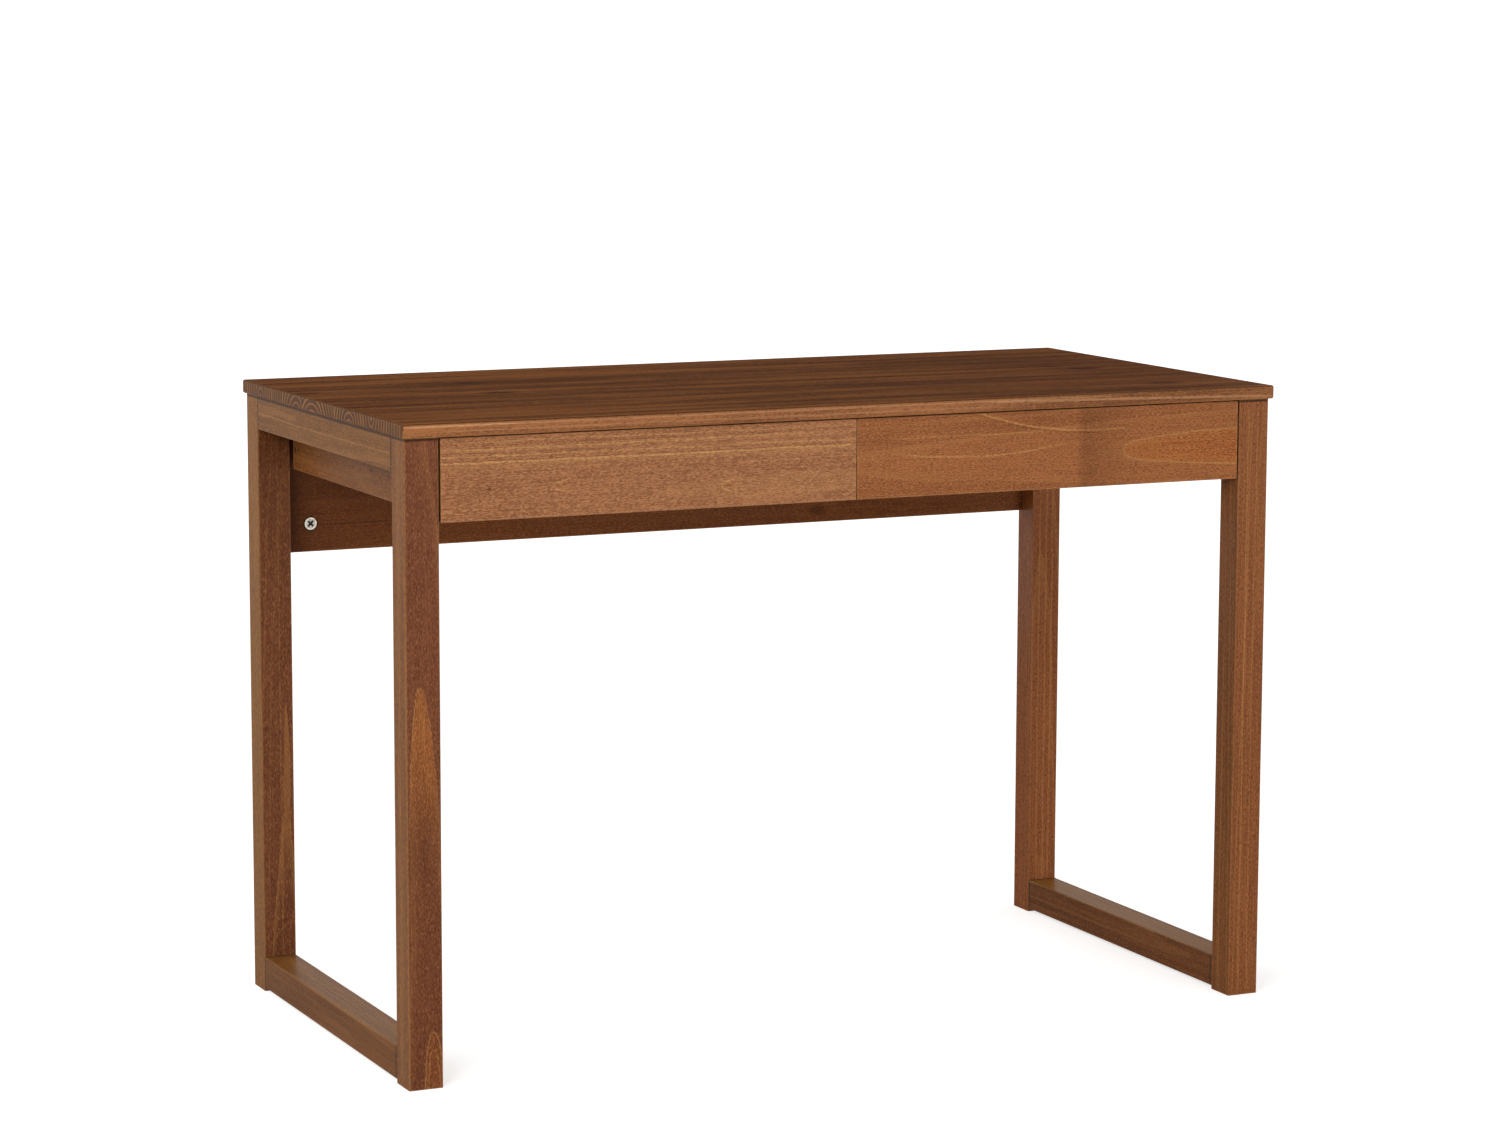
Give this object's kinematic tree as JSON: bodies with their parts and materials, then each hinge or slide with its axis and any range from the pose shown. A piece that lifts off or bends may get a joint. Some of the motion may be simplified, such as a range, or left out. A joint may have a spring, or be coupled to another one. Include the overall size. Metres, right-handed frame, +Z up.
{
  "type": "writing desk",
  "caption": "Open writing desk of stained pine: rectangular loop side frames, a rear panel and handleless drawers that slide out under the top on wooden runners.",
  "frame": {"origin": "on the floor, under the middle of the desktop", "axes": "+X along the desk to the right as seen from the front, +Y from the front to the rear, +Z up"},
  "size_m": [1.1, 0.55, 0.74],
  "materials": {
    "stained_pine": "brown stain under satin lacquer",
    "drawer_plywood": "stained thin plywood",
    "runner_beech": "planed and waxed",
    "dowel_beech": "plain",
    "zinc_cam": "die-cast zinc",
    "zinc_plated_steel": "zinc plated"
  },
  "bodies": {
    "frame": {"desktop": "stained_pine", "front_left_leg": "stained_pine", "rear_left_leg": "stained_pine", "front_right_leg": "stained_pine", "rear_right_leg": "stained_pine", "left_top_rail": "stained_pine", "left_foot_rail": "stained_pine", "right_top_rail": "stained_pine", "right_foot_rail": "stained_pine", "rear_panel": "stained_pine", "centre_bearer": "stained_pine", "left_frame_runner": "runner_beech", "right_frame_runner": "runner_beech", "centre_left_runner": "runner_beech", "centre_right_runner": "runner_beech", "left_frame_dowels": "dowel_beech", "right_frame_dowels": "dowel_beech", "rear_panel_dowels": "dowel_beech", "bearer_dowels": "dowel_beech", "rear_panel_cams": "zinc_cam", "rear_panel_cam_bolts": "zinc_plated_steel", "desktop_screws": "zinc_plated_steel", "runner_screws": "zinc_plated_steel"},
    "left_drawer": {"left_drawer_front": "stained_pine", "left_drawer_outer_side": "stained_pine", "left_drawer_inner_side": "stained_pine", "left_drawer_back": "stained_pine", "left_drawer_bottom": "drawer_plywood", "left_drawer_dowels": "dowel_beech", "left_drawer_cams": "zinc_cam", "left_drawer_cam_bolts": "zinc_plated_steel", "left_drawer_back_screws": "zinc_plated_steel", "left_drawer_bottom_screws": "zinc_plated_steel"},
    "right_drawer": {"right_drawer_front": "stained_pine", "right_drawer_outer_side": "stained_pine", "right_drawer_inner_side": "stained_pine", "right_drawer_back": "stained_pine", "right_drawer_bottom": "drawer_plywood", "right_drawer_dowels": "dowel_beech", "right_drawer_cams": "zinc_cam", "right_drawer_cam_bolts": "zinc_plated_steel", "right_drawer_back_screws": "zinc_plated_steel", "right_drawer_bottom_screws": "zinc_plated_steel"}
  },
  "joints": [
    {"name": "left_drawer_slide", "type": "slide", "parent": "frame", "child": "left_drawer", "axis": [0, -1, 0], "range_m": [0, 0.34]},
    {"name": "right_drawer_slide", "type": "slide", "parent": "frame", "child": "right_drawer", "axis": [0, -1, 0], "range_m": [0, 0.34]}
  ]
}
